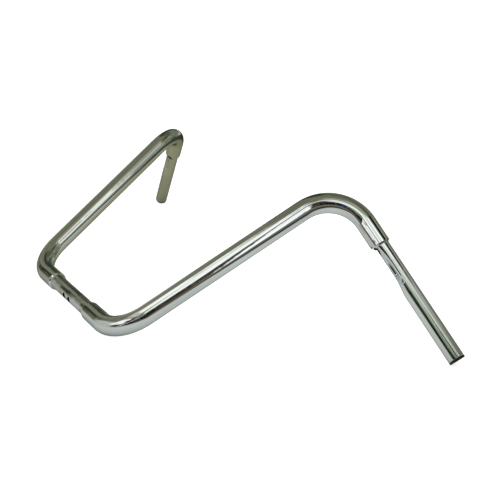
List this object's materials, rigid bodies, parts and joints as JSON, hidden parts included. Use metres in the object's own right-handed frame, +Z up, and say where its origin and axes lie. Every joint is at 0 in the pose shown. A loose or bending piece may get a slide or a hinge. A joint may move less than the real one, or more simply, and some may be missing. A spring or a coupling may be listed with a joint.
{
  "type": "motorcycle handlebar",
  "caption": "Tall pulled-back chrome motorcycle handlebar: fat bent risers, slimmer clamp section and grips, pressed wiring channels and black end plugs.",
  "frame": {"origin": "centre of the clamp tube, on its axis and midway between the two risers", "axes": "+X along the clamp tube to the rider's right-hand grip, +Y the way the risers run from the clamp, +Z up from the bench that the bar lies on. Clamped on a motorcycle, the bar is turned about X until its risers stand: by +57.9 degrees by the right-hand rule they are upright."},
  "size_m": [0.9798, 0.4302, 0.2193],
  "materials": {
    "chrome_tube": "polished chrome plate over steel tube",
    "chrome_weld": "dressed and plated weld fillet",
    "black_plug": "moulded satin black"
  },
  "bodies": {
    "root": {"centre_clamp_tube": "chrome_tube", "riser_tube_left": "chrome_tube", "riser_tube_right": "chrome_tube", "grip_tube_left": "chrome_tube", "grip_tube_right": "chrome_tube", "clamp_weld_left": "chrome_weld", "clamp_weld_right": "chrome_weld", "grip_weld_left": "chrome_weld", "grip_weld_right": "chrome_weld", "end_plug_left": "black_plug", "end_plug_right": "black_plug"}
  },
  "joints": []
}
